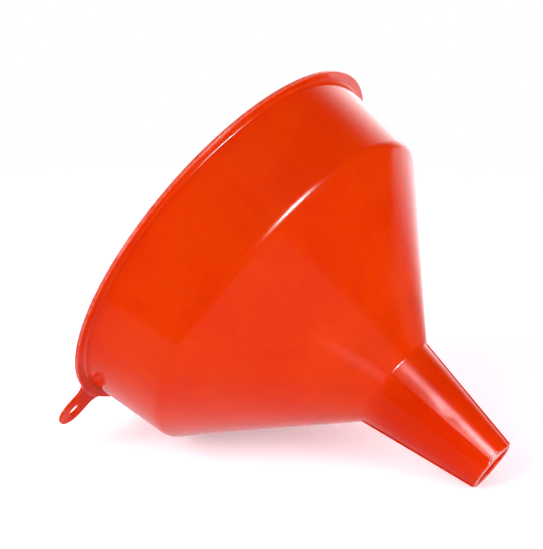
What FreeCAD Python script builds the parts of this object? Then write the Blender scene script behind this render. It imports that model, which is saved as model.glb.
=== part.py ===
"""Moulded plastic funnel with a hang tab and a lift-out strainer.

Frame: the funnel's axis is Z, the mouth is at +Z and the spout's outlet is centred on the origin.
The hang tab points to -X and the raised half of the spout is on the +X side. All sizes are in millimetres.
"""
import FreeCAD, Part
import math
import os

import Sketcher

App = FreeCAD
doc = App.newDocument("Funnel")

# ---------------------------------------------------------------- driving dimensions

SIZES = {
    # funnel shell
    "overall_height": 170.0,
    "rim_diameter": 200.0,
    "rim_thickness": 1.8,
    "rim_neck_diameter": 190.4,
    "wall": 1.6,
    "knee_diameter": 180.0,
    "knee_height": 126.0,
    "junction_diameter": 45.8,
    "junction_height": 59.0,
    "tip_diameter": 24.4,
    "outlet_diameter": 21.0,
    "outlet_land": 4.0,
    "knee_round": 6.0,
    "inner_round": 5.0,
    "neck_round": 1.5,
    "blend_round": 6.0,
    "edge_round": 0.5,
    # raised half and ribs of the spout
    "vent_step": 0.5,
    "vent_stop": 0.8,
    "ledge_bevel_width": 1.0,
    "ledge_bevel_depth": 0.45,
    "raised_round": 2.0,
    "rib_height": 0.6,
    "rib_width": 0.8,
    # hang tab
    "tab_reach": 120.0,
    "tab_width": 18.2,
    "tab_root_round": 6.0,
    "hang_hole_diameter": 7.5,
    # strainer
    "seat_height": 72.0,
    "seat_depth": 6.0,
    "seat_gap": 0.05,
    "seat_bore_diameter": 56.0,
    "seat_floor": 2.0,
    "gauze_diameter": 64.0,
    "wire_diameter": 0.36,
    "wire_pitch": 1.8,
    "clamp_gap": 0.1,
    "bail_rise": 16.0,
    "bail_width": 6.0,
    "bail_thickness": 2.4,
    "bail_round": 0.8,
}

sheet = doc.addObject("Spreadsheet::Sheet", "Sizes")
for row, (alias, value) in enumerate(SIZES.items(), start=1):
    sheet.set(f"A{row}", alias)
    sheet.set(f"B{row}", str(value))
    sheet.setAlias(f"B{row}", alias)
doc.recompute()


def size(alias):
    """A driving dimension's number, for first guesses and for finding edges."""
    return float(sheet.get(alias))


# ---------------------------------------------------------------- sketch helpers


def new_body(label):
    body = doc.addObject("PartDesign::Body", label)
    body.Label = label
    return body


def origin_plane(body, role):
    return next(part for part in body.Origin.OriginFeatures if part.Role == role)


def new_sketch(body, name, role="XZ_Plane", offset=None):
    sketch = body.newObject("Sketcher::SketchObject", name)
    sketch.AttachmentSupport = [(origin_plane(body, role), "")]
    sketch.MapMode = "FlatFace"
    if offset is not None:
        sketch.AttachmentOffset = offset
    return sketch


def add_line(sketch, start, end, construction=False):
    line = Part.LineSegment(App.Vector(*start, 0), App.Vector(*end, 0))
    return sketch.addGeometry(line, construction)


def add_outline(sketch, points):
    """A closed outline of straight lines. Line number k starts at point number k."""
    lines = [add_line(sketch, a, b) for a, b in zip(points, points[1:] + points[:1])]
    for line, following in zip(lines, lines[1:] + lines[:1]):
        sketch.addConstraint(Sketcher.Constraint("Coincident", line, 2, following, 1))
    return lines


def bind(sketch, name, constraint, formula):
    """Adds a dimension, names it and drives it from the sheet."""
    index = sketch.addConstraint(constraint)
    sketch.renameConstraint(index, name)
    sketch.setExpression(f"Constraints.{name}", formula)


def place(sketch, name, line, end, x_formula, y_formula, x_value, y_value):
    """Fixes one end of a line by its distance from the axis and its height."""
    bind(sketch, name + "_x", Sketcher.Constraint("DistanceX", -1, 1, line, end, x_value), x_formula)
    if y_formula is None:
        sketch.addConstraint(Sketcher.Constraint("PointOnObject", line, end, -1))
    else:
        bind(sketch, name + "_y", Sketcher.Constraint("DistanceY", -1, 1, line, end, y_value), y_formula)


def away(sketch, name, line, end, datum, formula, value):
    """Keeps one end of a line at a distance from another line."""
    bind(sketch, name, Sketcher.Constraint("Distance", line, end, datum, value), formula)


def revolve(body, sketch, name, angle=360.0):
    feature = body.newObject("PartDesign::Revolution", name)
    feature.Profile = sketch
    feature.ReferenceAxis = (sketch, ["V_Axis"])
    feature.Angle = angle
    feature.Midplane = angle < 360.0
    doc.recompute()
    return feature


def pad(body, sketch, name, length_formula, midplane=False):
    feature = body.newObject("PartDesign::Pad", name)
    feature.Profile = sketch
    feature.setExpression("Length", length_formula)
    feature.Midplane = midplane
    doc.recompute()
    return feature


def edge_feature(body, kind, name, wanted):
    """A fillet or chamfer, not sized yet, on every edge of the last feature for which wanted(edge) is true."""
    base = body.Tip
    edges = [f"Edge{k}" for k, edge in enumerate(base.Shape.Edges, start=1) if wanted(edge)]
    if not edges:
        raise ValueError(f"{name} found no edges")
    feature = body.newObject(kind, name)
    feature.Base = (base, edges)
    return feature


def fillet(body, name, wanted, radius_formula):
    feature = edge_feature(body, "PartDesign::Fillet", name, wanted)
    feature.setExpression("Radius", radius_formula)
    doc.recompute()


def bevel(body, name, wanted, first_formula, second_formula):
    """A chamfer with its own distance on each side of the edge."""
    feature = edge_feature(body, "PartDesign::Chamfer", name, wanted)
    feature.ChamferType = "Two distances"
    feature.setExpression("Size", first_formula)
    feature.setExpression("Size2", second_formula)
    doc.recompute()


def is_ring(edge, radius, height, slack=0.02):
    """True for a circle or arc about the axis with this radius and height."""
    curve = edge.Curve
    if not isinstance(curve, Part.Circle):
        return False
    centred = abs(curve.Center.x) < slack and abs(curve.Center.y) < slack
    return centred and abs(curve.Center.z - height) < slack and abs(curve.Radius - radius) < slack


# ---------------------------------------------------------------- funnel body


def shell_profile(body):
    """Half section of the shell: spout, cone, steep wall and flat rim, all one wall thick."""
    rim_z = size("overall_height")
    under_rim_z = rim_z - size("rim_thickness")
    wall = size("wall")
    tip = (size("tip_diameter") / 2, 0.0)
    junction = (size("junction_diameter") / 2, size("junction_height"))
    knee = (size("knee_diameter") / 2, size("knee_height"))
    neck = (size("rim_neck_diameter") / 2, under_rim_z)
    bore = size("outlet_diameter") / 2
    points = [
        tip,
        junction,
        knee,
        neck,
        (size("rim_diameter") / 2, under_rim_z),
        (size("rim_diameter") / 2, rim_z),
        (neck[0] - wall, rim_z),
        (knee[0] - wall, knee[1] + wall / 2),
        (junction[0] - wall, junction[1] + wall / 2),
        (bore, size("outlet_land")),
        (bore, 0.0),
    ]
    sketch = new_sketch(body, "ShellProfile")
    lines = add_outline(sketch, points)
    spout, cone, steep_wall, rim_under, rim_edge = lines[:5]
    inner_top, inner_knee, inner_junction, land, outlet = lines[6:11]

    place(sketch, "tip", spout, 1, "Sizes.tip_diameter / 2", None, *tip)
    place(sketch, "junction", cone, 1, "Sizes.junction_diameter / 2", "Sizes.junction_height", *junction)
    place(sketch, "knee", steep_wall, 1, "Sizes.knee_diameter / 2", "Sizes.knee_height", *knee)
    under_rim = "Sizes.overall_height - Sizes.rim_thickness"
    place(sketch, "neck", rim_under, 1, "Sizes.rim_neck_diameter / 2", under_rim, *neck)
    place(sketch, "rim_under", rim_edge, 1, "Sizes.rim_diameter / 2", under_rim, *points[4])
    sketch.addConstraint(Sketcher.Constraint("Vertical", rim_edge))
    sketch.addConstraint(Sketcher.Constraint("Horizontal", lines[5]))
    top = Sketcher.Constraint("DistanceY", -1, 1, inner_top, 1, rim_z)
    bind(sketch, "rim_top_y", top, "Sizes.overall_height")

    away(sketch, "wall_at_top", inner_top, 1, steep_wall, "Sizes.wall", wall)
    away(sketch, "wall_at_knee_above", inner_knee, 1, steep_wall, "Sizes.wall", wall)
    away(sketch, "wall_at_knee_below", inner_knee, 1, cone, "Sizes.wall", wall)
    away(sketch, "wall_at_junction_above", inner_junction, 1, cone, "Sizes.wall", wall)
    away(sketch, "wall_at_junction_below", inner_junction, 1, spout, "Sizes.wall", wall)
    place(sketch, "land", land, 1, "Sizes.outlet_diameter / 2", "Sizes.outlet_land", *points[9])
    place(sketch, "outlet", outlet, 1, "Sizes.outlet_diameter / 2", None, *points[10])
    return sketch


def spout_datums(sketch):
    """Construction lines on the outside of the spout and of the cone, for strips that follow them."""
    tip = (size("tip_diameter") / 2, 0.0)
    junction = (size("junction_diameter") / 2, size("junction_height"))
    knee = (size("knee_diameter") / 2, size("knee_height"))
    spout = add_line(sketch, tip, junction, construction=True)
    cone = add_line(sketch, junction, knee, construction=True)
    sketch.addConstraint(Sketcher.Constraint("Coincident", spout, 2, cone, 1))
    place(sketch, "datum_tip", spout, 1, "Sizes.tip_diameter / 2", None, *tip)
    place(
        sketch, "datum_junction", cone, 1, "Sizes.junction_diameter / 2", "Sizes.junction_height", *junction
    )
    place(sketch, "datum_knee", cone, 2, "Sizes.knee_diameter / 2", "Sizes.knee_height", *knee)
    return spout, cone


def facing_tab():
    """Turns a sketch on the XZ plane so that it faces -X, the tab's side."""
    return App.Placement(App.Vector(0, 0, 0), App.Rotation(App.Vector(0, 1, 0), 180))


def spout_strip(body, name, outer_formula, outer, start_formula, start, offset=None):
    """A strip that stands proud of the spout's outside, runs up into the cone and is rooted in the wall."""
    sketch = new_sketch(body, name, offset=offset)
    spout, cone = spout_datums(sketch)
    root = size("wall") / 2
    tip_x = size("tip_diameter") / 2
    junction_x = size("junction_diameter") / 2
    junction_z = size("junction_height")
    points = [
        (tip_x + outer, start),
        (junction_x + 2 * outer, junction_z + outer),
        (junction_x - root, junction_z),
        (tip_x - root, start),
    ]
    face, top, inside, foot = add_outline(sketch, points)
    away(sketch, "proud_low", face, 1, spout, outer_formula, outer)
    away(sketch, "proud_high", top, 1, spout, outer_formula, outer)
    sketch.addConstraint(Sketcher.Constraint("PointOnObject", top, 1, cone))
    away(sketch, "root_high", inside, 1, spout, "Sizes.wall / 2", root)
    away(sketch, "root_low", foot, 1, spout, "Sizes.wall / 2", root)
    sketch.addConstraint(Sketcher.Constraint("Horizontal", foot))
    bind(sketch, "start", Sketcher.Constraint("DistanceY", -1, 1, foot, 1, start), start_formula)
    high = Sketcher.Constraint("DistanceY", -1, 1, inside, 1, junction_z)
    bind(sketch, "root_high_y", high, "Sizes.junction_height")
    return sketch


def raised_face(sketch, spout, cone, proud_name):
    """Construction line on the outside of a strip that stands proud of the spout, up to the cone."""
    proud = size(proud_name)
    tip = App.Vector(size("tip_diameter") / 2, 0, 0)
    junction = App.Vector(size("junction_diameter") / 2, size("junction_height"), 0)
    knee = App.Vector(size("knee_diameter") / 2, size("knee_height"), 0)
    down = (tip - junction).normalize()
    up = (knee - junction).normalize()
    corner = junction + up * (proud / math.sin(down.getAngle(up)))
    foot = tip.x + proud / abs(down.y)
    face = add_line(sketch, (foot, 0.0), (corner.x, corner.y), construction=True)
    away(sketch, "face_low", face, 1, spout, f"Sizes.{proud_name}", proud)
    away(sketch, "face_high", face, 2, spout, f"Sizes.{proud_name}", proud)
    sketch.addConstraint(Sketcher.Constraint("PointOnObject", face, 1, -1))
    sketch.addConstraint(Sketcher.Constraint("PointOnObject", face, 2, cone))
    return face, corner


def blend_profile(body, name, radius_name, proud_name=None, offset=None):
    """Concave round between the cone and the spout, or a strip proud of the spout, rooted in the wall."""
    sketch = new_sketch(body, name, offset=offset)
    spout, cone = spout_datums(sketch)
    radius = size(radius_name)
    junction = App.Vector(size("junction_diameter") / 2, size("junction_height"), 0)
    tip = App.Vector(size("tip_diameter") / 2, 0, 0)
    knee = App.Vector(size("knee_diameter") / 2, size("knee_height"), 0)
    down = (tip - junction).normalize()
    up = (knee - junction).normalize()
    face, corner = raised_face(sketch, spout, cone, proud_name) if proud_name else (spout, junction)
    half_angle = down.getAngle(up) / 2
    reach = radius / math.tan(half_angle)
    centre = corner + (down + up).normalize() * (radius / math.sin(half_angle))
    low = corner + down * reach
    high = corner + up * reach
    root = junction - (down + up).normalize() * (size("wall") / 2)
    start = math.atan2(high.y - centre.y, high.x - centre.x) % (2 * math.pi)
    stop = math.atan2(low.y - centre.y, low.x - centre.x) % (2 * math.pi)
    circle = Part.Circle(centre, App.Vector(0, 0, 1), radius)
    arc = sketch.addGeometry(Part.ArcOfCircle(circle, start, stop))
    low_side = add_line(sketch, (low.x, low.y), (root.x, root.y))
    high_side = add_line(sketch, (root.x, root.y), (high.x, high.y))
    sketch.addConstraint(Sketcher.Constraint("Coincident", arc, 2, low_side, 1))
    sketch.addConstraint(Sketcher.Constraint("Coincident", low_side, 2, high_side, 1))
    sketch.addConstraint(Sketcher.Constraint("Coincident", high_side, 2, arc, 1))
    for end, touch, datum in ((2, low, face), (1, high, cone)):
        spoke = add_line(sketch, (centre.x, centre.y), (touch.x, touch.y), construction=True)
        sketch.addConstraint(Sketcher.Constraint("Coincident", spoke, 1, arc, 3))
        sketch.addConstraint(Sketcher.Constraint("Coincident", spoke, 2, arc, end))
        sketch.addConstraint(Sketcher.Constraint("Perpendicular", spoke, datum))
        sketch.addConstraint(Sketcher.Constraint("PointOnObject", arc, end, datum))
    bind(sketch, "blend_radius", Sketcher.Constraint("Radius", arc, radius), f"Sizes.{radius_name}")
    away(sketch, "root_spout", low_side, 2, spout, "Sizes.wall / 2", size("wall") / 2)
    away(sketch, "root_cone", low_side, 2, cone, "Sizes.wall / 2", size("wall") / 2)
    return sketch


def tab_profile(body):
    """Hang tab seen from above: round end, straight sides and a root inside the rim, with the hole."""
    underside = size("overall_height") - size("rim_thickness")
    under_rim = App.Placement(App.Vector(0, 0, underside), App.Rotation())
    sketch = new_sketch(body, "TabProfile", role="XY_Plane", offset=under_rim)
    sketch.setExpression("AttachmentOffset.Base.z", "Sizes.overall_height - Sizes.rim_thickness")
    half = size("tab_width") / 2
    centre = App.Vector(half - size("tab_reach"), 0, 0)
    root_x = 3.0 - size("rim_diameter") / 2
    circle = Part.Circle(centre, App.Vector(0, 0, 1), half)
    arc = sketch.addGeometry(Part.ArcOfCircle(circle, math.pi / 2, 3 * math.pi / 2))
    near = add_line(sketch, (centre.x, -half), (root_x, -half))
    root = add_line(sketch, (root_x, -half), (root_x, half))
    far = add_line(sketch, (root_x, half), (centre.x, half))
    sketch.addConstraint(Sketcher.Constraint("Tangent", arc, 2, near, 1))
    sketch.addConstraint(Sketcher.Constraint("Coincident", near, 2, root, 1))
    sketch.addConstraint(Sketcher.Constraint("Coincident", root, 2, far, 1))
    sketch.addConstraint(Sketcher.Constraint("Tangent", far, 2, arc, 1))
    sketch.addConstraint(Sketcher.Constraint("Horizontal", near))
    sketch.addConstraint(Sketcher.Constraint("Vertical", root))
    sketch.addConstraint(Sketcher.Constraint("PointOnObject", arc, 3, -1))
    bind(sketch, "end_radius", Sketcher.Constraint("Radius", arc, half), "Sizes.tab_width / 2")
    to_centre = Sketcher.Constraint("DistanceX", arc, 3, -1, 1, -centre.x)
    bind(sketch, "centre_x", to_centre, "Sizes.tab_reach - Sizes.tab_width / 2")
    to_root = Sketcher.Constraint("DistanceX", root, 1, -1, 1, -root_x)
    bind(sketch, "root_x", to_root, "Sizes.rim_diameter / 2 - 3")
    hole = sketch.addGeometry(Part.Circle(centre, App.Vector(0, 0, 1), size("hang_hole_diameter") / 2))
    sketch.addConstraint(Sketcher.Constraint("Coincident", hole, 3, arc, 3))
    bind(
        sketch,
        "hole_radius",
        Sketcher.Constraint("Radius", hole, size("hang_hole_diameter") / 2),
        "Sizes.hang_hole_diameter / 2",
    )
    return sketch


def make_funnel_body():
    body = new_body("funnel_body")
    revolve(body, shell_profile(body), "Shell")

    wall = size("wall")
    junction = (size("junction_diameter") / 2, size("junction_height"))
    knee = (size("knee_diameter") / 2, size("knee_height"))
    neck = (size("rim_neck_diameter") / 2, size("overall_height") - size("rim_thickness"))
    fillet(body, "KneeRound", lambda edge: is_ring(edge, *knee), "Sizes.knee_round")
    fillet(
        body,
        "InnerKneeRound",
        lambda edge: is_ring(edge, knee[0] - wall, knee[1] + wall / 2, slack=wall / 2),
        "Sizes.knee_round - Sizes.wall",
    )
    fillet(
        body,
        "InnerJunctionRound",
        lambda edge: is_ring(edge, junction[0] - wall, junction[1] + wall / 2, slack=wall / 2),
        "Sizes.inner_round",
    )
    fillet(body, "NeckRound", lambda edge: is_ring(edge, *neck), "Sizes.neck_round")

    step, stop, rib = size("vent_step"), size("vent_stop"), size("rib_height")
    raised = spout_strip(body, "RaisedHalfProfile", "Sizes.vent_step", step, "Sizes.vent_stop", stop)
    revolve(body, raised, "RaisedHalf", angle=180.0)
    bevel(body, "LedgeEdges", is_ledge_edge, "Sizes.ledge_bevel_width", "Sizes.ledge_bevel_depth")
    raised_blend = blend_profile(body, "RaisedBlendProfile", "raised_round", proud_name="vent_step")
    revolve(body, raised_blend, "RaisedBlend", angle=180.0)
    blend = blend_profile(body, "BlendProfile", "blend_round", offset=facing_tab())
    revolve(body, blend, "Blend", angle=180.0)

    on_raised = "Sizes.vent_step + Sizes.rib_height"
    far_rib = spout_strip(body, "FarRibProfile", on_raised, step + rib, "Sizes.vent_stop", stop)
    pad(body, far_rib, "FarRib", "Sizes.rib_width", midplane=True)
    tab_rib = spout_strip(
        body, "TabRibProfile", "Sizes.rib_height", rib, "Sizes.vent_stop", stop, offset=facing_tab()
    )
    pad(body, tab_rib, "TabRib", "Sizes.rib_width", midplane=True)

    pad(body, tab_profile(body), "Tab", "Sizes.rim_thickness")
    fillet(body, "TabRoot", is_tab_root, "Sizes.tab_root_round")
    fillet(body, "RimEdges", is_rim_edge, "Sizes.edge_round")
    fillet(body, "TipEdges", is_tip_edge, "Sizes.edge_round")
    return body


def is_tab_root(edge):
    """The two upright corners where the tab's sides leave the rim."""
    box = edge.BoundBox
    upright = box.ZLength > size("rim_thickness") - 0.01 and box.XLength + box.YLength < 0.01
    beside = abs(abs(box.Center.y) - size("tab_width") / 2) < 0.01
    return upright and beside and box.Center.x < -size("rim_neck_diameter") / 2


def is_rim_edge(edge):
    """The outline of the rim and tab on both faces, and the mouth's inner edge, but not the hole."""
    box = edge.BoundBox
    rim_z = size("overall_height")
    on_top = abs(box.ZMin - rim_z) < 0.001
    on_underside = abs(box.ZMax - rim_z + size("rim_thickness")) < 0.001
    if box.ZLength > 0.001 or not (on_top or on_underside):
        return False
    if isinstance(edge.Curve, Part.Circle):
        if abs(edge.Curve.Radius - size("hang_hole_diameter") / 2) < 0.01:
            return False
        if is_ring(edge, edge.Curve.Radius, box.ZMin) and on_underside:
            return edge.Curve.Radius > size("rim_diameter") / 2 - 0.01
    return True


def is_tip_edge(edge):
    """The outer edge of the spout's end face."""
    return is_ring(edge, size("tip_diameter") / 2, 0.0)


def is_ledge_edge(edge):
    """The two long outer edges of the raised half, on the plane across the funnel."""
    if not isinstance(edge.Curve, Part.Line):
        return False
    box = edge.BoundBox
    long_enough = box.ZLength > size("junction_height") / 2
    outside = abs(edge.valueAt(edge.FirstParameter).y) + abs(edge.valueAt(edge.LastParameter).y)
    flat = abs(box.Center.x) < 0.001 and box.XLength < 0.001
    proud = outside > size("tip_diameter") / 2 + size("junction_diameter") / 2 + size("vent_step")
    return flat and long_enough and proud


# ---------------------------------------------------------------- strainer

GAUZE_FLOOR = "(Sizes.seat_height + Sizes.seat_floor)"
STRAINER_TOP = "(Sizes.seat_height + Sizes.seat_depth)"


def seat_profile(body):
    """Half section of the seat ring: a conical outside parallel to the cone, and a recess for the gauze."""
    bottom = size("seat_height")
    top = bottom + size("seat_depth")
    floor = bottom + size("seat_floor")
    stand_off = size("wall") + size("seat_gap")
    lean = math.atan2(
        (size("knee_diameter") - size("junction_diameter")) / 2, size("knee_height") - size("junction_height")
    )

    def cone_radius(height):
        rise = height - size("junction_height")
        return size("junction_diameter") / 2 + rise * math.tan(lean) - stand_off / math.cos(lean)

    recess = size("gauze_diameter") / 2 + size("clamp_gap")
    bore = size("seat_bore_diameter") / 2
    points = [
        (cone_radius(bottom), bottom),
        (cone_radius(top), top),
        (recess, top),
        (recess, floor),
        (bore, floor),
        (bore, bottom),
    ]
    sketch = new_sketch(body, "SeatProfile")
    cone = spout_datums(sketch)[1]
    seat, rim, side, shelf, inside, under = add_outline(sketch, points)
    away(sketch, "gap_low", seat, 1, cone, "Sizes.wall + Sizes.seat_gap", stand_off)
    away(sketch, "gap_high", rim, 1, cone, "Sizes.wall + Sizes.seat_gap", stand_off)
    low = Sketcher.Constraint("DistanceY", -1, 1, seat, 1, bottom)
    bind(sketch, "bottom", low, "Sizes.seat_height")
    recess_radius = "Sizes.gauze_diameter / 2 + Sizes.clamp_gap"
    place(sketch, "recess_top", side, 1, recess_radius, STRAINER_TOP, *points[2])
    place(sketch, "bore_top", inside, 1, "Sizes.seat_bore_diameter / 2", GAUZE_FLOOR, *points[4])
    for line in (rim, shelf, under):
        sketch.addConstraint(Sketcher.Constraint("Horizontal", line))
    for line in (side, inside):
        sketch.addConstraint(Sketcher.Constraint("Vertical", line))
    return sketch


def make_seat_ring():
    body = new_body("strainer_seat_ring")
    revolve(body, seat_profile(body), "Seat")
    return body


def clamp_profile(body):
    """Half section of the clamp ring: a plain rectangle that fills the recess above the gauze."""
    inner = size("seat_bore_diameter") / 2
    outer = size("gauze_diameter") / 2
    bottom = size("seat_height") + size("seat_floor") + 2 * size("wire_diameter") + size("clamp_gap")
    top = size("seat_height") + size("seat_depth")
    sketch = new_sketch(body, "ClampProfile")
    under, outside, above, inside = add_outline(
        sketch, [(inner, bottom), (outer, bottom), (outer, top), (inner, top)]
    )
    for line in (under, above):
        sketch.addConstraint(Sketcher.Constraint("Horizontal", line))
    for line in (outside, inside):
        sketch.addConstraint(Sketcher.Constraint("Vertical", line))
    above_gauze = GAUZE_FLOOR + " + 2 * Sizes.wire_diameter + Sizes.clamp_gap"
    place(sketch, "low", under, 1, "Sizes.seat_bore_diameter / 2", above_gauze, inner, bottom)
    place(sketch, "high", above, 1, "Sizes.gauze_diameter / 2", STRAINER_TOP, outer, top)
    return sketch


def bail_profile(body):
    """The lifting bail seen from the side: a flat arch whose feet sink into the clamp ring."""
    foot_x = (size("seat_bore_diameter") + size("gauze_diameter")) / 4
    foot_z = size("seat_height") + size("seat_depth") - size("bail_round")
    rise = size("bail_rise")
    radius = (foot_x**2 + rise**2) / (2 * rise)
    centre = App.Vector(0, foot_z + rise - radius, 0)
    sketch = new_sketch(body, "BailProfile")
    arcs = []
    for arc_radius in (radius + size("bail_thickness") / 2, radius - size("bail_thickness") / 2):
        start = math.asin((foot_z - centre.y) / arc_radius)
        circle = Part.Circle(centre, App.Vector(0, 0, 1), arc_radius)
        arcs.append(sketch.addGeometry(Part.ArcOfCircle(circle, start, math.pi - start)))
    over, below = arcs
    feet = []
    for end, side in ((1, 1), (2, -1)):
        foot = add_line(sketch, (side * (foot_x + 1), foot_z), (side * (foot_x - 1), foot_z))
        sketch.addConstraint(Sketcher.Constraint("Coincident", over, end, foot, 1))
        sketch.addConstraint(Sketcher.Constraint("Coincident", foot, 2, below, end))
        sketch.addConstraint(Sketcher.Constraint("Horizontal", foot))
        feet.append(foot)
    sketch.addConstraint(Sketcher.Constraint("Coincident", over, 3, below, 3))
    sketch.addConstraint(Sketcher.Constraint("PointOnObject", over, 3, -2))
    foot_height = Sketcher.Constraint("DistanceY", -1, 1, feet[0], 1, foot_z)
    bind(sketch, "foot_height", foot_height, STRAINER_TOP + " - Sizes.bail_round")
    other_foot = Sketcher.Constraint("DistanceY", -1, 1, feet[1], 1, foot_z)
    bind(sketch, "other_foot_height", other_foot, STRAINER_TOP + " - Sizes.bail_round")
    mid_span = "((Sizes.seat_bore_diameter + Sizes.gauze_diameter) / 4)"
    mid_radius = f"({mid_span} ^ 2 + Sizes.bail_rise ^ 2) / (2 * Sizes.bail_rise)"
    outer_radius = Sketcher.Constraint("Radius", over, radius + size("bail_thickness") / 2)
    bind(sketch, "over_radius", outer_radius, f"{mid_radius} + Sizes.bail_thickness / 2")
    inner_radius = Sketcher.Constraint("Radius", below, radius - size("bail_thickness") / 2)
    bind(sketch, "below_radius", inner_radius, f"{mid_radius} - Sizes.bail_thickness / 2")
    crown = Sketcher.Constraint("DistanceY", over, 3, feet[0], 1, foot_z - centre.y)
    bind(sketch, "centre_drop", crown, f"{mid_radius} - Sizes.bail_rise")
    return sketch


def is_bail_edge(edge):
    """The four long curved edges of the bail."""
    curve = edge.Curve
    return isinstance(curve, Part.Circle) and abs(curve.Axis.y) > 0.99 and edge.Length > size("bail_width")


def make_clamp_ring():
    body = new_body("strainer_clamp_ring")
    revolve(body, clamp_profile(body), "Clamp")
    pad(body, bail_profile(body), "Bail", "Sizes.bail_width", midplane=True)
    fillet(body, "BailEdges", is_bail_edge, "Sizes.bail_round")
    return body


def make_wires(label, turned, layer_formula):
    """Parallel wires of the gauze, each as long as its chord of the gauze's circle.

    The wires run along X, or along Y when turned. They lie straight: each set is one layer of the gauze.
    """
    side_count = int(size("gauze_diameter") / 2 / size("wire_pitch"))
    turn = App.Rotation(App.Vector(1, 0, 0), -90) if turned else App.Rotation(App.Vector(0, 1, 0), 90)
    wires = []
    for k in range(-side_count, side_count + 1):
        wire = doc.addObject("Part::Cylinder", f"{label}_{k + side_count}")
        chord = f"sqrt((Sizes.gauze_diameter / 2) ^ 2 - (Sizes.wire_pitch * {k}) ^ 2)"
        wire.setExpression("Radius", "Sizes.wire_diameter / 2")
        wire.setExpression("Height", f"2 * {chord}")
        wire.Placement = App.Placement(App.Vector(0, 0, 0), turn)
        along, across = ("y", "x") if turned else ("x", "y")
        wire.setExpression(f"Placement.Base.{along}", f"-{chord}")
        wire.setExpression(f"Placement.Base.{across}", f"Sizes.wire_pitch * {k}")
        wire.setExpression("Placement.Base.z", layer_formula)
        wires.append(wire)
    group = doc.addObject("Part::Compound", label)
    group.Label = label
    group.Links = wires
    return group


funnel = make_funnel_body()
seat_ring = make_seat_ring()
clamp_ring = make_clamp_ring()
warp = make_wires("mesh_warp_wires", False, GAUZE_FLOOR + " + Sizes.wire_diameter * 0.6")
weft = make_wires("mesh_weft_wires", True, GAUZE_FLOOR + " + Sizes.wire_diameter * 1.65")
doc.recompute()

# ---------------------------------------------------------------- checks and export

failed = [item.Name for item in doc.Objects if {"Invalid", "Error"} & set(item.State)]
if failed:
    raise RuntimeError(f"these objects did not compute: {failed}")

os.makedirs("parts", exist_ok=True)
for piece in (funnel, seat_ring, clamp_ring, warp, weft):
    if piece.Shape.isNull() or not piece.Shape.isValid():
        raise RuntimeError(f"{piece.Label} has no valid shape")
    piece.Shape.exportStep(f"parts/{piece.Label}.step")
    print(f"{piece.Label}: {len(piece.Shape.Solids)} solids, {piece.Shape.Volume:.1f} mm3")
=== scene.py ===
"""A moulded funnel with a lift-out strainer, lying on its side on a pale studio floor."""

import math
import random

import bmesh
import bpy
from mathutils import Matrix, Vector


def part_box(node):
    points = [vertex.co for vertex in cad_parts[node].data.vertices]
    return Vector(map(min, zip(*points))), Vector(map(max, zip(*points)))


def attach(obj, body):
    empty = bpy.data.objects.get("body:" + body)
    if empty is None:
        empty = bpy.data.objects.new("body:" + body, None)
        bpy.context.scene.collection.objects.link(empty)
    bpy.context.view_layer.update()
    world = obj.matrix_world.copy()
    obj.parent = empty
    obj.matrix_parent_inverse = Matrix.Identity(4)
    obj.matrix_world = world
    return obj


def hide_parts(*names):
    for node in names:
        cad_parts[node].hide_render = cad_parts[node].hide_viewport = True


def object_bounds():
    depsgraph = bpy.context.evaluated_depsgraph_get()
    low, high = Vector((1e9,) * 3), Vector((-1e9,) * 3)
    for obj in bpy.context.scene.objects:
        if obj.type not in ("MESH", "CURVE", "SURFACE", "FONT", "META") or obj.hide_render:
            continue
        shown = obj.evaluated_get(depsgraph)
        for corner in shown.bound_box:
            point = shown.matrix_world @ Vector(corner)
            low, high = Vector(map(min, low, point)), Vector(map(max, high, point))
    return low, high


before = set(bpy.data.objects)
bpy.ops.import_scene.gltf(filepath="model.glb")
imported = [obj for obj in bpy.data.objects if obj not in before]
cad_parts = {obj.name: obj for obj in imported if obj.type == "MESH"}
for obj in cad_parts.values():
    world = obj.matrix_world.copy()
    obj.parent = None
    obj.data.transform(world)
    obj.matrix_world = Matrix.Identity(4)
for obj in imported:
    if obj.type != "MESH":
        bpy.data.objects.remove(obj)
cad_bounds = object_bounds()

MM = 0.001

# ---------------------------------------------------------------- camera

CAMERA_AZIMUTH = -4.42      # degrees, round the funnel's axis from the side that faces -Y
CAMERA_ELEVATION = -16.71   # degrees, below the plane of the rim
CAMERA_DISTANCE = 0.694
CAMERA_HEIGHT_SHARE = 0.822  # where the optical axis crosses the funnel's axis, as a share of its height
CAMERA_SIDE = 0.0014
LENS = 93.87                # mm on a 36 mm sensor
CLIP_START = 0.01

# ---------------------------------------------------------------- how the funnel lies

REST_AZIMUTH = 145.1        # degrees, the side of the funnel that points down
TIP_ZONE = 0.05             # the tip's contact point is below this height on the funnel
KNEE_ZONE = 0.10            # the knee's contact point is above this height
STEEPEST_TILT = 60          # degrees, where the search for the floor's tilt starts
SEARCH_ROUNDS = 40

# ---------------------------------------------------------------- colours, linear

ORANGE = (0.89, 0.054, 0.0001)
DEEP_ORANGE = (0.85, 0.041, 0.0001)
RING_ORANGE = (0.85, 0.046, 0.0002)
GLOWING_ORANGE = (1.0, 0.15, 0.001)
# pale for rubbed edges, scratches and dust, and for the painted sheen on the funnel's rim and tip
CHALK_AND_SHEEN = (0.95, 0.42, 0.34)
STEEL = (0.66, 0.65, 0.62)
# the flash's pale colours, partly a painted highlight on the outlet's lip
PALE_FILM_AND_HIGHLIGHT = (1.0, 0.74, 0.70)
DULL_FILM_AND_HIGHLIGHT = (0.98, 0.58, 0.52)


def direction(azimuth, elevation):
    """A unit vector: azimuth 0 points to -Y and turns towards +X, elevation is above the XY plane."""
    a = math.radians(azimuth)
    e = math.radians(elevation)
    return Vector((math.sin(a) * math.cos(e), -math.cos(a) * math.cos(e), math.sin(e)))


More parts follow.
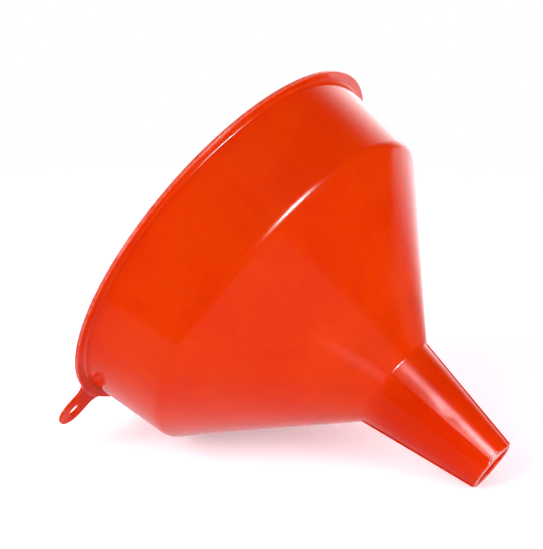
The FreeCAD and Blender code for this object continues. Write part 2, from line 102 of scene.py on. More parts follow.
def resting_plane():
    """The floor's upward normal and its offset: the plane under the knee and the tip."""
    corners = [v.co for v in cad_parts["funnel_body"].data.vertices]
    tip = [c for c in corners if c.z < TIP_ZONE]
    knee = [c for c in corners if c.z > KNEE_ZONE]
    turn = math.radians(REST_AZIMUTH)

    def up_at(tilt):
        return Vector((-math.cos(turn) * math.cos(tilt), -math.sin(turn) * math.cos(tilt), math.sin(tilt)))

    low, high = 0.0, math.radians(STEEPEST_TILT)
    for _ in range(SEARCH_ROUNDS):
        middle = (low + high) / 2
        up = up_at(middle)
        if min(c.dot(up) for c in tip) < min(c.dot(up) for c in knee):
            high = middle
        else:
            low = middle
    up = up_at(middle)
    return up, min(c.dot(up) for c in tip)


UP, FLOOR_OFFSET = resting_plane()
HEIGHT = cad_bounds[1].z
AIM = Vector((CAMERA_SIDE, 0, HEIGHT * CAMERA_HEIGHT_SHARE))
BACK = direction(CAMERA_AZIMUTH, CAMERA_ELEVATION)
AWAY = (-BACK + UP * BACK.dot(UP)).normalized()
RIGHT = AWAY.cross(UP)
FLOOR_POINT = AIM - UP * (AIM.dot(UP) - FLOOR_OFFSET)


def beside(point, right, away, up):
    """The place some metres to the camera's right of a point, away from the camera and above the point."""
    return point + RIGHT * right + AWAY * away + UP * up


# ---------------------------------------------------------------- node helpers


class Graph:
    """A node tree being wired: add() makes a node, sets it up and returns it."""

    def __init__(self, tree):
        self.tree = tree
        tree.nodes.clear()

    def add(self, kind, inputs=None, **settings):
        node = self.tree.nodes.new(kind)
        for name, value in settings.items():
            setattr(node, name, value)
        for socket, value in (inputs or {}).items():
            if isinstance(value, bpy.types.NodeSocket):
                self.tree.links.new(value, node.inputs[socket])
            else:
                node.inputs[socket].default_value = value
        return node

    def maths(self, operation, first, second=0.0, clamp=False):
        node = self.add("ShaderNodeMath", {0: first, 1: second}, operation=operation, use_clamp=clamp)
        return node.outputs[0]

    def product(self, *factors):
        """Any number of values multiplied together."""
        total = factors[0]
        for factor in factors[1:]:
            total = self.maths("MULTIPLY", total, factor)
        return total

    def vector(self, operation, first, second):
        other = "Scale" if operation == "SCALE" else 1
        node = self.add("ShaderNodeVectorMath", {0: first, other: second}, operation=operation)
        return node.outputs["Value" if operation == "DOT_PRODUCT" else "Vector"]

    def reach(self, vector, axis):
        """How far a vector reaches along a fixed axis."""
        return self.vector("DOT_PRODUCT", vector, tuple(axis))

    def length(self, vector):
        return self.add("ShaderNodeVectorMath", {0: vector}, operation="LENGTH").outputs["Value"]

    def height(self, place):
        """A place's height in the funnel's own frame."""
        return self.add("ShaderNodeSeparateXYZ", {0: place}).outputs["Z"]

    def ramp(self, value, start, end, low=0.0, high=1.0):
        """A smooth step: low up to start, high from end on."""
        node = self.add(
            "ShaderNodeMapRange",
            {"Value": value, "From Min": start, "From Max": end, "To Min": low, "To Max": high},
            interpolation_type="SMOOTHSTEP",
        )
        return node.outputs["Result"]

    def dimmed(self, mask, share):
        """1 where a mask is 0, falling to a share where it is 1."""
        return self.ramp(mask, 0.0, 1.0, 1.0, share)

    def turn_ramp(self, turn, ends, low=0.0, high=1.0):
        """A smooth step over an angle. Its two ends are in degrees."""
        return self.ramp(turn, *(math.radians(end) for end in ends), low, high)

    def noise(self, place, scale, detail=2.0, roughness=0.5):
        node = self.add(
            "ShaderNodeTexNoise",
            {"Vector": place, "Scale": scale, "Detail": detail, "Roughness": roughness},
        )
        return node.outputs["Fac"]

    def bump(self, height, distance, under=None, strength=1.0, invert=False):
        """The normal of a relief that lies on the surface, or on another relief whose normal is given."""
        relief = {"Height": height, "Strength": strength, "Distance": distance}
        if under:
            relief["Normal"] = under
        return self.add("ShaderNodeBump", relief, invert=invert).outputs[0]

    def blend(self, share, first, second):
        node = self.add("ShaderNodeMix", data_type="RGBA")
        for index, value in ((0, share), (6, first), (7, second)):
            if isinstance(value, bpy.types.NodeSocket):
                self.tree.links.new(value, node.inputs[index])
            elif index == 0:
                node.inputs[index].default_value = value
            else:
                node.inputs[index].default_value = (*value, 1)
        return node.outputs[2]

    def choose(self, share, first, second):
        """A number between two others: the first at share 0, the second at share 1."""
        return self.add("ShaderNodeMix", {0: share, 2: first, 3: second}, data_type="FLOAT").outputs[0]

    def mix(self, share, first, second):
        return self.add("ShaderNodeMixShader", {0: share, 1: first, 2: second}).outputs[0]


def new_material(name):
    material = bpy.data.materials.new(name)
    material.use_nodes = True
    return material, Graph(material.node_tree)


# ---------------------------------------------------------------- materials

# A pair is the start and the end of a smooth step, or the values at its two ends. Scales count noise cells
# per metre.

SPOUT_TOP = 0.062                # the funnel's height where the spout meets the cone
DIMPLED_SPOUT = (SPOUT_TOP, SPOUT_TOP - 0.012)
THIN_SPOUT = (SPOUT_TOP, SPOUT_TOP - 0.020)
THIN_SHARE = 4.0                 # how many times more light the spout's wall passes than the rest

FINE_NOISE = (4.0, 0.6)          # detail and roughness of noise that has many sizes in it
DIMPLE_NOISE = (3.0, 0.65)
CLOUD_SCALE = 26.0
FLOW_SCALE = 160.0
FLOW_STRETCH = (1.0, 1.0, 0.12)
HAIRLINE_SCALE = 1500.0
HAIRLINE_STRETCH = (1.0, 1.0, 0.022)
HAIRLINE_PATCH_SCALE = 45.0
SPECK_SCALE = 95.0
RUB_SCALE = 420.0
HAZE_SCALE = 130.0
SWELL_SCALE = 60.0
PEEL_SCALE = 1100.0
DIMPLE_SCALE = 420.0
TEAR_SCALE = 700.0

SWELL_HEIGHT = 0.06 * MM
PEEL_HEIGHT = 0.0015 * MM
DIMPLE_HEIGHT = 0.03 * MM
HAIRLINE_DEPTH = 0.004 * MM
SWELL_ON_SPOUT = 0.12            # what is left of the swell there

CLOUD_SHARE = 0.75               # the rest of the colour's change is flow lines
TINT_STEP = (0.36, 0.64)
HAIRLINE_STEP = (0.80, 0.86)
HAIRLINE_PATCH_STEP = (0.50, 0.62)
HAIRLINE_TURNS = ((0.5, 0.3), (1.9, 1.1))  # lean and roll of each direction, in radians
SPECK_STEP = (0.030, 0.012)
RUB_STEP = (0.30, 0.55)
HAZE_STEP = (0.30, 0.75)
HAZE_SHARES = (0.8, 1.35)        # the roughness where the haze is least and most
CHALK_ROUGHNESS = 0.3            # what a chalky place adds

FUNNEL_ROUGHNESS = 0.085
RING_ROUGHNESS = 0.24
FILM_ROUGHNESS = 0.3
SEE_THROUGH = 0.10
PLASTIC_IOR = 1.49
SCATTER_SHARE = 0.4
SCATTER_COLOUR = (1.0, 0.28, 0.12)
SCATTER_DEPTH = 2.2 * MM

# how pale rubbed edges get; on the funnel's rim and tip this paleness is partly a painted sheen
RUB_AND_SHEEN_SHARE = 0.85
SCRATCHED_SHARE = 0.12
DUSTY_SHARE = 0.22

RIM_BAND = (0.0992, 0.0999, 0.1003, 0.1010)  # radii between which the rim's edge is paled: partly rubbed, partly a painted sheen
# how pale the rim's outer edge gets: partly rubbing, partly a painted sheen
RIM_WEAR_AND_SHEEN = 0.35
# heights over which the tip's end is paled: partly a painted highlight on its rounded edge
TIP_BAND = (0.0012, 0.0002)
BAIL_BAND = 4 * MM
BAIL_WEAR = 0.4
TEAR_STEP = (0.48, 0.62)
TEAR_SHARE = 0.5


def hairlines(g, place, lean, roll):
    """A mask of faint straight scratches that all run one way."""
    turned = g.add("ShaderNodeMapping", {"Vector": place, "Rotation": (lean, 0.0, roll)}).outputs[0]
    stretched = g.vector("MULTIPLY", turned, HAIRLINE_STRETCH)
    return g.ramp(g.noise(stretched, HAIRLINE_SCALE, 1.0), *HAIRLINE_STEP)


def scratches(g, place):
    """Hairlines in two directions, in patches."""
    both = g.maths("MAXIMUM", *(hairlines(g, place, lean, roll) for lean, roll in HAIRLINE_TURNS))
    return g.product(both, g.ramp(g.noise(place, HAIRLINE_PATCH_SCALE), *HAIRLINE_PATCH_STEP))


def uneven_skin(g, place, on_spout, scratch):
    """The normal of a moulded skin: slow swell, orange peel, dimples on the spout, and the scratches."""
    swell = g.product(g.noise(place, SWELL_SCALE, 1.0), g.dimmed(on_spout, SWELL_ON_SPOUT))
    normal = g.bump(swell, SWELL_HEIGHT)
    normal = g.bump(g.noise(place, PEEL_SCALE), PEEL_HEIGHT, normal)
    dimple = g.product(g.noise(place, DIMPLE_SCALE, *DIMPLE_NOISE), on_spout)
    normal = g.bump(dimple, DIMPLE_HEIGHT, normal)
    return g.bump(scratch, HAIRLINE_DEPTH, normal, 0.5, invert=True)


def moulded_plastic(name, colour, deep, roughness, see_through, wear_and_sheen):
    """Glossy polypropylene: cloudy colour, flow lines, orange peel, hairline scratches, chalky pale edges
    that are wear and, on the funnel's rim and tip, partly a painted sheen.

    see_through is the share of light that passes the wall. The last argument takes (graph, place) and masks
    the pale edges: rubbed places, and on the funnel's rim and tip partly a painted sheen.
    """
    material, g = new_material(name)
    place = g.add("ShaderNodeTexCoord").outputs["Object"]
    flow = g.noise(g.vector("MULTIPLY", place, FLOW_STRETCH), FLOW_SCALE)
    cloud = g.noise(place, CLOUD_SCALE, 3.0)
    tint = g.maths("ADD", g.product(cloud, CLOUD_SHARE), g.product(flow, 1 - CLOUD_SHARE))
    body = g.blend(g.ramp(tint, *TINT_STEP), deep, colour)

    scratch = scratches(g, place)
    speck = g.add("ShaderNodeTexVoronoi", {"Vector": place, "Scale": SPECK_SCALE}).outputs["Distance"]
    dust = g.ramp(speck, *SPECK_STEP)
    # pale patches on the rubbed edges; on the funnel's rim and tip partly a painted sheen
    rub_and_sheen = g.product(wear_and_sheen(g, place), g.ramp(g.noise(place, RUB_SCALE, *FINE_NOISE), *RUB_STEP))
    pale = g.maths("MAXIMUM", g.product(rub_and_sheen, RUB_AND_SHEEN_SHARE), g.product(scratch, SCRATCHED_SHARE))
    pale = g.maths("MAXIMUM", pale, g.product(dust, DUSTY_SHARE), clamp=True)

    haze_range = [roughness * share for share in HAZE_SHARES]
    haze = g.ramp(g.noise(place, HAZE_SCALE, *FINE_NOISE), *HAZE_STEP, *haze_range)
    rough = g.maths("ADD", haze, g.product(pale, CHALK_ROUGHNESS), clamp=True)
    height = g.height(place)
    on_spout = g.ramp(height, *DIMPLED_SPOUT)

    plastic = g.add(
        "ShaderNodeBsdfPrincipled",
        {
            "Base Color": g.blend(pale, body, CHALK_AND_SHEEN),
            "Roughness": rough,
            "IOR": PLASTIC_IOR,
            "Normal": uneven_skin(g, place, on_spout, scratch),
            "Subsurface Weight": SCATTER_SHARE,
            "Subsurface Radius": SCATTER_COLOUR,
            "Subsurface Scale": SCATTER_DEPTH,
        },
    ).outputs[0]
    glow = g.add("ShaderNodeBsdfTranslucent", {"Color": (*GLOWING_ORANGE, 1)}).outputs[0]
    passed = g.ramp(height, *THIN_SPOUT, see_through, min(1.0, see_through * THIN_SHARE))
    g.add("ShaderNodeOutputMaterial", {"Surface": g.mix(passed, plastic, glow)})
    return material


def funnel_edges(g, place):
    """The funnel's pale edges, the rim's outer edge and the tip's end: partly rubbed, partly a painted
    sheen and highlight where these edges catch the light.
    """
    reach = g.length(g.vector("MULTIPLY", place, (1, 1, 0)))
    inner, inner_full, outer_full, outer = RIM_BAND
    rim = g.product(g.ramp(reach, inner, inner_full), g.ramp(reach, outer, outer_full))
    return g.maths("MAXIMUM", g.product(rim, RIM_WEAR_AND_SHEEN), g.ramp(g.height(place), *TIP_BAND))


def ring_edges(g, place):
    """The strainer's rubbed places: the top of the bail, where fingers pull it out."""
    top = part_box("strainer_clamp_ring")[1].z
    return g.ramp(g.height(place), top - BAIL_BAND, top, 0.0, BAIL_WEAR)


def torn_film(g, place):
    """The flash's redder streaks, where it is torn thin."""
    return g.ramp(g.noise(place, TEAR_SCALE), *TEAR_STEP, 0.0, TEAR_SHARE)


WIRE_PATCH_SCALE = 260.0
WIRE_MARK_SCALE = 5200.0
WIRE_MARK_STRETCH = (1.0, 1.0, 9.0)
WIRE_MARK_DEPTH = 0.004 * MM
WIRE_DULLNESS = 0.72
WIRE_PATCH_STEP = (0.35, 0.70)
WIRE_MARK_STEP = (0.30, 0.70)
WIRE_ROUGHNESS = (0.20, 0.36)


def drawn_wire(name):
    """Stainless wire: fine lengthwise drawing marks and slightly darker, duller patches."""
    material, g = new_material(name)
    place = g.add("ShaderNodeTexCoord").outputs["Object"]
    patch = g.noise(place, WIRE_PATCH_SCALE, 3.0)
    marks = g.noise(g.vector("MULTIPLY", place, WIRE_MARK_STRETCH), WIRE_MARK_SCALE)
    dull_steel = tuple(WIRE_DULLNESS * c for c in STEEL)
    metal = g.add(
        "ShaderNodeBsdfPrincipled",
        {
            "Base Color": g.blend(g.ramp(patch, *WIRE_PATCH_STEP), dull_steel, STEEL),
            "Metallic": 1.0,
            "Roughness": g.ramp(marks, *WIRE_MARK_STEP, *WIRE_ROUGHNESS),
            "Normal": g.bump(marks, WIRE_MARK_DEPTH, strength=0.5),
        },
    )
    g.add("ShaderNodeOutputMaterial", {"Surface": metal.outputs[0]})
    return material


# ---------------------------------------------------------------- pieces


def new_piece(name, mesh):
    """Turns a finished bmesh into an object in the scene."""
    data = bpy.data.meshes.new(name)
    mesh.to_mesh(data)
    mesh.free()
    piece = bpy.data.objects.new(name, data)
    bpy.context.scene.collection.objects.link(piece)
    return piece


def skin_rings(mesh, rings):
    """Closes a run of equal rings of vertices into one solid, with a flat cap at each end."""
    sides = len(rings[0])
    for near, far in zip(rings, rings[1:]):
        for corner in range(sides):
            after = (corner + 1) % sides
            mesh.faces.new((near[corner], near[after], far[after], far[corner]))
    mesh.faces.new(reversed(rings[0]))
    mesh.faces.new(rings[-1])


# ---------------------------------------------------------------- woven gauze

GAUZE_NODES = ("mesh_warp_wires", "mesh_weft_wires")
WIRE_PITCH = 1.8 * MM
CRIMP_STEPS = 8   # points along one wire for each wire it crosses
WIRE_SIDES = 8


def woven_wires(name, node, along, across, first_over):
    """The gauze's wires in one direction, each bent over and under the wires it crosses.

    The CAD node's box gives the circle the wires fill, and the two nodes' boxes the gauze's thickness.
    """
    low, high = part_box(node)
    gauze_radius = (high[along] - low[along]) / 2
    under = min(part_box(n)[0].z for n in GAUZE_NODES)
    over = max(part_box(n)[1].z for n in GAUZE_NODES)
    thickness = high.z - low.z
    middle = (under + over) / 2
    swing = (over - under - thickness) / 2
    pitch = WIRE_PITCH
    count = int(gauze_radius / pitch)
    mesh = bmesh.new()
    for k in range(-count, count + 1):
        side = k * pitch
        half = math.sqrt(gauze_radius**2 - side**2)
        steps = max(2, round(2 * half / pitch * CRIMP_STEPS))
        rings = []
        for step in range(steps + 1):
            run = -half + 2 * half * step / steps
            phase = math.pi * (run / pitch + k + first_over)
            height = middle + swing * math.cos(phase)
            slope = -swing * math.pi / pitch * math.sin(phase)
            tangent = Vector((1, slope)).normalized()
            ring = []
            for corner in range(WIRE_SIDES):
                turn = 2 * math.pi * corner / WIRE_SIDES
                out = thickness / 2 * math.cos(turn)
                rise = thickness / 2 * math.sin(turn)
                point = Vector((0, 0, height + rise * tangent.x))
                point[along] = run - rise * tangent.y
                point[across] = side + out
                ring.append(mesh.verts.new(point))
            rings.append(ring)
        skin_rings(mesh, rings)
    bmesh.ops.recalc_face_normals(mesh, faces=mesh.faces)
    piece = new_piece(name, mesh)
    piece.data.shade_smooth()
    return piece


# ---------------------------------------------------------------- flash at the outlet, partly a painted highlight on its lip

FLASH_FOOT = 0.05 * MM         # height of its lower edge
FLASH_HEIGHT = 0.5 * MM
FLASH_RAGGED = (0.3, 1.2)      # shares between which its height jumps
FLASH_PROUD = 0.12 * MM
FLASH_SUNK = 0.3 * MM          # how far its back is inside the wall
FLASH_START = -80.0            # degrees, round the outlet from the side that faces -Y
FLASH_END = 70.0
FLASH_STEPS = 120
HIGHLIGHT_LOBE_AZIMUTH = 15.0            # where it reaches highest up the outside: a painted highlight where the spout's streak meets the tip
HIGHLIGHT_LOBE_WIDTH = 17.0
HIGHLIGHT_LOBE_HEIGHT = 2.0 * MM
HIGHLIGHT_LOBE_RAGGED = (0.75, 1.0)
OUTSIDE = 0.1                  # well clear of the spout


def outlet_flash(name):
    """The ragged pale skin that the mould left round the near half of the outlet's edge, partly a painted
    highlight: its paleness stands in for the lip's highlight, and its lobe for the highlight where the
    spout's streak meets the tip.
    """
    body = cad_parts["funnel_body"]
    dice = random.Random(name)
    mesh = bmesh.new()
    rings = []
    for step in range(FLASH_STEPS + 1):
        share = step / FLASH_STEPS
        azimuth = FLASH_START + (FLASH_END - FLASH_START) * share
        out = direction(azimuth, 0)
        highlight_lobe = math.exp(-(((azimuth - HIGHLIGHT_LOBE_AZIMUTH) / HIGHLIGHT_LOBE_WIDTH) ** 4))
        rise = FLASH_HEIGHT * dice.uniform(*FLASH_RAGGED) + HIGHLIGHT_LOBE_HEIGHT * highlight_lobe * dice.uniform(*HIGHLIGHT_LOBE_RAGGED)
        rise *= math.sin(math.pi * share) ** 0.5
        edges = []
        for height in (FLASH_FOOT, 2 * FLASH_FOOT + rise):
            _, skin, _, _ = body.ray_cast(Vector((0, 0, height)) + out * OUTSIDE, -out)
            front = mesh.verts.new(skin + out * FLASH_PROUD)
            back = mesh.verts.new(skin - out * FLASH_SUNK)
            edges.append((front, back))
        (low_front, low_back), (high_front, high_back) = edges
        rings.append([low_front, low_back, high_back, high_front])
    skin_rings(mesh, rings)
    bmesh.ops.recalc_face_normals(mesh, faces=mesh.faces)
    return new_piece(name, mesh)


# ---------------------------------------------------------------- studio

# Lengths are in metres and angles in degrees. "right", "away" and "up" are seen from the camera, and angles
# turn from straight behind the object towards the right. Except in places, sizes and spreads, a pair is the
# start and the end of a smooth step, or the values at its two ends.

FLOOR_SIZE = 3.0
FLOOR_TINT = (0.965, 0.945, 1.0)
BLUSHING_TINT = (1.0, 0.74, 0.80)  # next to the funnel, which throws its own colour on it
FLOOR_SEEN = 0.95                # the paper's brightness to the camera where it is lit
FLOOR_LIFT = 0.34                # what its overexposure adds, in shadow too
FLOOR_BOUNCE = 1.05              # its brightness as it lights the underside
PAPER_FADE = (0.45, 0.75)        # distances between which it gives way to the white around it
GRAIN_SCALE = 420.0
GRAIN_STEP = (0.2, 0.8)
GRAIN_DARKEST = 0.985

# The paper as the gloss sees it. LEFT, RIGHT, AWAY and FRONT are distances and TURN is an angle.
SHEET_LEFT = (-0.36, -0.28)
SHEET_RIGHT = (0.62, 0.42)       # in front of the object only
SHEET_FRONT = (-0.26, -0.20)
SHEET_SLANT = 0.42               # how much its front edge comes forward towards the right
FRONT_GLOW = 0.22
CONTACT_GLOW = 0.88
CONTACT_AWAY = (-0.10, -0.01)
CONTACT_RIGHT = (-0.14, -0.08)
BEHIND = (0.04, 0.22)
BACK_GLOW = 1.5
SIDE_GLOW = 0.2
SIDE_TURN = (25, 62)
FAR_LEFT_TURN = (-8, -28)        # where shallow reflections find it dim
FAR_LEFT_STEEPNESS = (0.44, 0.34)
FAR_LEFT_SHARE = 0.2
SPOUT_LIGHT_PLACE = (0.115, -0.135)  # where the spout throws light down: right and away
SPOUT_LIGHT_REACH = (0.038, 0.008)
SPOUT_LIGHT = 0.6
TAB_SHADE_AWAY = (-0.015, 0.005)
TAB_SHADE_RIGHT = (-0.05, -0.065)
TAB_SHADE_TURN = (-32, -22)      # only what is reflected in the flange's underside is shaded
TAB_SHADE_STEEPNESS = (0.62, 0.70)
TAB_SHADE_SHARE = 0.12

SOFTBOX_PLACE = (0.712, -0.888, 0.62)
SOFTBOX_SIZE = 2.0
SOFTBOX_RADIANCE = 50.0
SOFTBOX_ROLL = -40.0
SOFTBOX_SPREADS = (0.133, 0.196)  # along its two axes
SOFTBOX_WIDE_SPREAD = 0.35
SOFTBOX_WIDE_SHARE = 0.015

# Broad lights for the colour, aimed at the funnel: name, place beside it, size and watts.
FILLS = (
    ("right_fill", (0.70, -0.50, 0.35), 0.70, 2.85),
    ("left_fill", (-0.65, -0.50, 0.35), 0.70, 2.2),
    ("mouth_fill", (-0.45, 0.45, 0.55), 0.60, 1.0),
)
SPOUT_FILL_PLACE = (0.10, -0.45, 0.02)
SPOUT_FILL_SIZE = 0.10
SPOUT_FILL_WATTS = 0.012
SPOUT_FILL_SPREAD = 22
FLOOR_FILL_PLACE = (-0.60, -0.55, 0.30)
FLOOR_FILL_SIZE = (0.9, 0.6)
FLOOR_FILL_WATTS = 4.4

AMBIENT = 0.45
AMBIENT_UP = (-0.3, 0.9)         # steps over the upward and the away part of a direction
AMBIENT_AWAY = (-0.2, 0.9)
AMBIENT_SHARES = (0.85, 1.1)     # from below the horizon to overhead
BACK_BOOST = 2.2                 # how much brighter the backdrop is than the rest, for the colour
ROOM_GLOW = 0.004
WALL_GLOW = 2.6
WALL_LEFT_GLOW = 1.2
WALL_GLOW_TURN = (-70, 0)
WALL_LEFT = (-118, -100)
WALL_RIGHT = (50, 14)
WALL_TOP = (68, 20)
WINDOW_GLOW = 4.0
WINDOW_LEFT = (-136, -128)
WINDOW_RIGHT = (-88, -98)
WINDOW_TOP = (34, 24)
BEYOND_LEFT = (-80, -50)         # where the paper goes on past the floor's edge
BEYOND_RIGHT = (95, 72)


def horizon_glow(g, turn):
    """How bright the gloss sees the paper far away: brightest behind, dim on the right."""
    return g.turn_ramp(turn, SIDE_TURN, BACK_GLOW, SIDE_GLOW)


def neither_seen_nor_mirrored(g, rays):
    """1 for the rays that carry light to the colour, and 0 for the camera's and the gloss's own."""
    either = g.maths("ADD", rays["Is Camera Ray"], rays["Is Glossy Ray"], clamp=True)
    return g.maths("SUBTRACT", 1.0, either)


def glow_near_object(g, right, contact, offset, shade):
    """The paper in front of the object and under it, with the light that the spout throws down."""
    glow = g.maths("ADD", g.product(contact, CONTACT_GLOW - FRONT_GLOW), FRONT_GLOW)
    glow = g.product(glow, g.dimmed(shade, TAB_SHADE_SHARE))
    spot_right, spot_away = SPOUT_LIGHT_PLACE
    spot = g.length(g.vector("SUBTRACT", offset, tuple(RIGHT * spot_right + AWAY * spot_away)))
    glow = g.maths("ADD", glow, g.ramp(spot, *SPOUT_LIGHT_REACH, 0.0, SPOUT_LIGHT))
    return g.product(glow, g.ramp(right, *SHEET_RIGHT))


def mirrored_paper(g, point, offset, contact, right, away):
    """The paper as the gloss sees it: dim in front, brighter at the contact and behind on the right."""
    front_line = g.maths("ADD", away, g.product(right, SHEET_SLANT))
    on_sheet = g.product(g.ramp(front_line, *SHEET_FRONT), g.ramp(right, *SHEET_LEFT))

    heading = g.vector("SCALE", point["Incoming"], -1.0)
    ray_turn = g.maths("ARCTAN2", g.reach(heading, RIGHT), g.reach(heading, AWAY))
    steepness = g.reach(point["Incoming"], UP)
    from_flange = g.product(g.turn_ramp(ray_turn, TAB_SHADE_TURN), g.ramp(steepness, *TAB_SHADE_STEEPNESS))
    shade = g.product(from_flange, g.ramp(away, *TAB_SHADE_AWAY), g.ramp(right, *TAB_SHADE_RIGHT))
    near = glow_near_object(g, right, contact, offset, shade)

    turn = g.maths("ARCTAN2", right, away)
    shallow = g.product(g.turn_ramp(turn, FAR_LEFT_TURN), g.ramp(steepness, *FAR_LEFT_STEEPNESS))
    far = g.product(horizon_glow(g, turn), g.dimmed(shallow, FAR_LEFT_SHARE))
    return g.product(g.choose(g.ramp(away, *BEHIND), near, far), on_sheet)


def paper_floor(name):
    """Matt white paper, overexposed to the camera. It shows only from above and fades out far away."""
    material, g = new_material(name)
    rays = g.add("ShaderNodeLightPath").outputs
    point = g.add("ShaderNodeNewGeometry").outputs
    offset = g.vector("SUBTRACT", point["Position"], tuple(FLOOR_POINT))
    right = g.reach(offset, RIGHT)
    away = g.reach(offset, AWAY)
    contact = g.product(g.ramp(away, *CONTACT_AWAY), g.ramp(right, *CONTACT_RIGHT))
    mirrored = g.product(mirrored_paper(g, point, offset, contact, right, away), rays["Is Glossy Ray"])

    grain = g.ramp(g.noise(offset, GRAIN_SCALE, *FINE_NOISE), *GRAIN_STEP, GRAIN_DARKEST)
    seen = g.product(rays["Is Camera Ray"], grain, FLOOR_SEEN)
    bounced = g.product(neither_seen_nor_mirrored(g, rays), FLOOR_BOUNCE)
    tone = g.vector("SCALE", FLOOR_TINT, g.maths("ADD", seen, bounced))
    paper = g.add("ShaderNodeBsdfDiffuse", {"Color": tone, "Roughness": 1.0}).outputs[0]

    blush = g.product(contact, g.ramp(away, *reversed(BEHIND)), rays["Is Glossy Ray"])
    glow = g.maths("ADD", g.product(rays["Is Camera Ray"], FLOOR_LIFT), mirrored)
    colour = g.blend(blush, FLOOR_TINT, BLUSHING_TINT)
    lit = g.add("ShaderNodeEmission", {"Color": colour, "Strength": glow}).outputs[0]
    sheet = g.add("ShaderNodeAddShader", {0: paper, 1: lit}).outputs[0]

    clear = g.add("ShaderNodeBsdfTransparent").outputs[0]
    gone = g.maths("MAXIMUM", g.ramp(g.length(offset), *PAPER_FADE), point["Backfacing"])
    hidden = g.product(gone, rays["Is Camera Ray"])
    g.add("ShaderNodeOutputMaterial", {"Surface": g.mix(hidden, sheet, clear)})
    return material


def make_floor():
    """The floor, and the collection that lets a light fall on it alone."""
    data = bpy.data.meshes.new("floor")
    half = FLOOR_SIZE / 2
    ends = ((-half, -half), (half, -half), (half, half), (-half, half))
    corners = [beside(FLOOR_POINT, right, away, 0) for right, away in ends]
    data.from_pydata(corners, [], [(0, 1, 2, 3)])
    floor = bpy.data.objects.new("floor", data)
    bpy.context.scene.collection.objects.link(floor)
    data.materials.append(paper_floor("floor_paper"))
    floor_only = bpy.data.collections.new("floor_only")
    floor_only.objects.link(floor)
    return floor_only


def area_light(name, place, aim, width, height, watts, **visible):
    """A rectangular light that the camera doesn't see. visible sets which other rays miss it."""
    data = bpy.data.lights.new(name, "AREA")
    data.shape = "RECTANGLE"
    data.size = width
    data.size_y = height
    data.energy = watts
    light = bpy.data.objects.new(name, data)
    light.location = place
    light.rotation_mode = "QUATERNION"
    light.rotation_quaternion = (aim - place).to_track_quat("-Z", "Y")
    light.visible_camera = False
    for flag, value in visible.items():
        setattr(light, flag, value)
    bpy.context.scene.collection.objects.link(light)
    return light


def fade_from_middle(light, axes, spreads, wide_spread, wide_share):
    """Makes an area light brightest in its middle: a bell curve along each axis and a faint wide glow."""
    light.data.use_nodes = True
    g = Graph(light.data.node_tree)
    offset = g.vector("SUBTRACT", g.add("ShaderNodeNewGeometry").outputs["Position"], tuple(light.location))

    def bell(widths):
        total = 0.0
        for axis, width in zip(axes, widths):
            run = g.maths("DIVIDE", g.reach(offset, axis), width)
            total = g.maths("ADD", g.product(run, run), total)
        return g.maths("EXPONENT", g.product(total, -0.5))

    wide = g.product(bell((wide_spread, wide_spread)), wide_share)
    emission = g.add("ShaderNodeEmission", {"Strength": g.maths("ADD", bell(spreads), wide)}).outputs[0]
    g.add("ShaderNodeOutputLight", {"Surface": emission})


def make_lights(floor_only):
    """One softbox in front on the right, seen in the gloss, and soft light for the colour."""
    place = beside(AIM, *SOFTBOX_PLACE)
    sight = (AIM - place).normalized()
    level = sight.cross(UP).normalized()
    steep = level.cross(sight)
    roll = math.radians(SOFTBOX_ROLL)
    first = level * math.cos(roll) + steep * math.sin(roll)
    second = steep * math.cos(roll) - level * math.sin(roll)
    watts = SOFTBOX_RADIANCE * math.pi * SOFTBOX_SIZE**2
    softbox = area_light("softbox", place, AIM, SOFTBOX_SIZE, SOFTBOX_SIZE, watts, visible_diffuse=False)
    fade_from_middle(softbox, (first, second), SOFTBOX_SPREADS, SOFTBOX_WIDE_SPREAD, SOFTBOX_WIDE_SHARE)

    for name, place, size, watts in FILLS:
        area_light(name, beside(AIM, *place), AIM, size, size, watts, visible_glossy=False)

    outlet = Vector((0, 0, 0))
    place = beside(outlet, *SPOUT_FILL_PLACE)
    size = SPOUT_FILL_SIZE
    spout_fill = area_light("spout_fill", place, outlet, size, size, SPOUT_FILL_WATTS, visible_glossy=False)
    spout_fill.data.spread = math.radians(SPOUT_FILL_SPREAD)

    place = beside(FLOOR_POINT, *FLOOR_FILL_PLACE)
    width, depth = FLOOR_FILL_SIZE
    floor_fill = area_light(
        "floor_fill", place, FLOOR_POINT, width, depth, FLOOR_FILL_WATTS, visible_glossy=False
    )
    floor_fill.light_linking.receiver_collection = floor_only


def elevation_ramp(g, up, ends):
    """A smooth step over a direction's elevation, given its upward part. The ends are in degrees."""
    return g.ramp(up, *(math.sin(math.radians(end)) for end in ends))


def mirrored_room(g, turn, up):
    """What the gloss sees: a dark room with a white wall behind, a window on the left and paper below."""
    wall = g.product(g.turn_ramp(turn, WALL_RIGHT), g.turn_ramp(turn, WALL_LEFT))
    wall = g.product(wall, elevation_ramp(g, up, WALL_TOP))
    wall = g.product(wall, g.turn_ramp(turn, WALL_GLOW_TURN, WALL_LEFT_GLOW, WALL_GLOW))
    window = g.product(g.turn_ramp(turn, WINDOW_LEFT), g.turn_ramp(turn, WINDOW_RIGHT))
    window = g.product(window, elevation_ramp(g, up, WINDOW_TOP), WINDOW_GLOW)
    beyond = g.product(g.turn_ramp(turn, BEYOND_RIGHT), g.turn_ramp(turn, BEYOND_LEFT))
    beyond = g.product(beyond, horizon_glow(g, turn))
    seen = g.choose(g.maths("LESS_THAN", up, 0.0), g.maths("MAXIMUM", wall, window), beyond)
    return g.maths("ADD", seen, ROOM_GLOW)


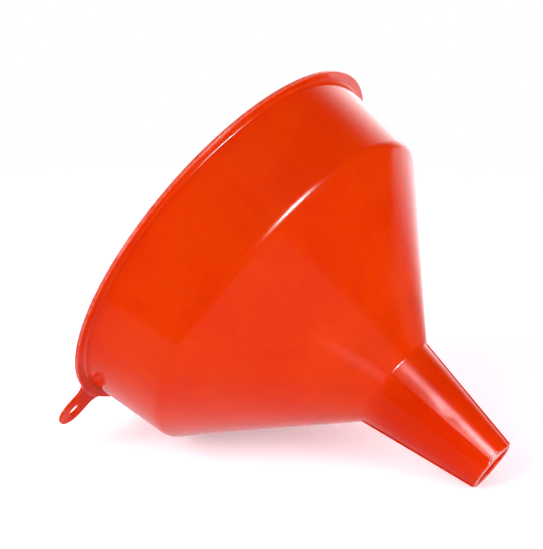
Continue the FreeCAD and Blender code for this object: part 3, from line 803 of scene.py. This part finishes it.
def make_world():
    """White to the camera, soft and brightest from behind for the colour, and a studio for the gloss."""
    world = bpy.data.worlds.new("studio")
    world.use_nodes = True
    bpy.context.scene.world = world
    g = Graph(world.node_tree)
    rays = g.add("ShaderNodeLightPath").outputs
    ray = g.add("ShaderNodeTexCoord").outputs["Generated"]
    away = g.reach(ray, AWAY)
    up = g.reach(ray, UP)
    turn = g.maths("ARCTAN2", g.reach(ray, RIGHT), away)
    mirrored = g.product(rays["Is Glossy Ray"], mirrored_room(g, turn, up))

    soft = g.ramp(up, *AMBIENT_UP, *(AMBIENT * share for share in AMBIENT_SHARES))
    soft = g.product(soft, g.ramp(away, *AMBIENT_AWAY, 1.0, BACK_BOOST))
    strength = g.maths("ADD", rays["Is Camera Ray"], mirrored)
    strength = g.maths("ADD", strength, g.product(neither_seen_nor_mirrored(g, rays), soft))
    background = g.add("ShaderNodeBackground", {"Color": (1, 1, 1, 1), "Strength": strength})
    g.add("ShaderNodeOutputWorld", {"Surface": background.outputs[0]})


def make_camera():
    data = bpy.data.cameras.new("camera")
    data.lens = LENS
    data.clip_start = CLIP_START
    camera = bpy.data.objects.new("camera", data)
    bpy.context.scene.collection.objects.link(camera)
    camera.location = AIM + BACK * CAMERA_DISTANCE
    sight = -BACK
    side = sight.cross(UP).normalized()
    above = side.cross(sight)
    camera.rotation_mode = "QUATERNION"
    camera.rotation_quaternion = Matrix((side, above, BACK)).transposed().to_quaternion()
    bpy.context.scene.camera = camera


# ---------------------------------------------------------------- put together

def dress(node, material):
    """Gives a CAD node its material, in place of the plain one it came with."""
    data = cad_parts[node].data
    data.materials.clear()
    data.materials.append(material)


make_camera()
make_lights(make_floor())
make_world()
bpy.context.scene.view_settings.view_transform = "Standard"

funnel_plastic = moulded_plastic(
    "funnel_plastic_look", ORANGE, DEEP_ORANGE, FUNNEL_ROUGHNESS, SEE_THROUGH, funnel_edges
)
ring_plastic = moulded_plastic(
    "strainer_plastic_look", RING_ORANGE, DEEP_ORANGE, RING_ROUGHNESS, SEE_THROUGH, ring_edges
)
# the flash's look, partly a painted highlight on the outlet's lip
film = moulded_plastic("flash_and_highlight_look", PALE_FILM_AND_HIGHLIGHT, DULL_FILM_AND_HIGHLIGHT, FILM_ROUGHNESS, SEE_THROUGH, torn_film)
dress("funnel_body", funnel_plastic)
dress("strainer_seat_ring", ring_plastic)
dress("strainer_clamp_ring", ring_plastic)

wire = drawn_wire("gauze_wire_look")
warp = woven_wires("gauze_warp", "mesh_warp_wires", 0, 1, 0)
weft = woven_wires("gauze_weft", "mesh_weft_wires", 1, 0, 1)
for piece, node in ((warp, "mesh_warp_wires"), (weft, "mesh_weft_wires")):
    piece.data.materials.append(wire)
    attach(piece, "strainer")
    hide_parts(node)

flash = outlet_flash("outlet_flash")
flash.data.materials.append(film)
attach(flash, "funnel")
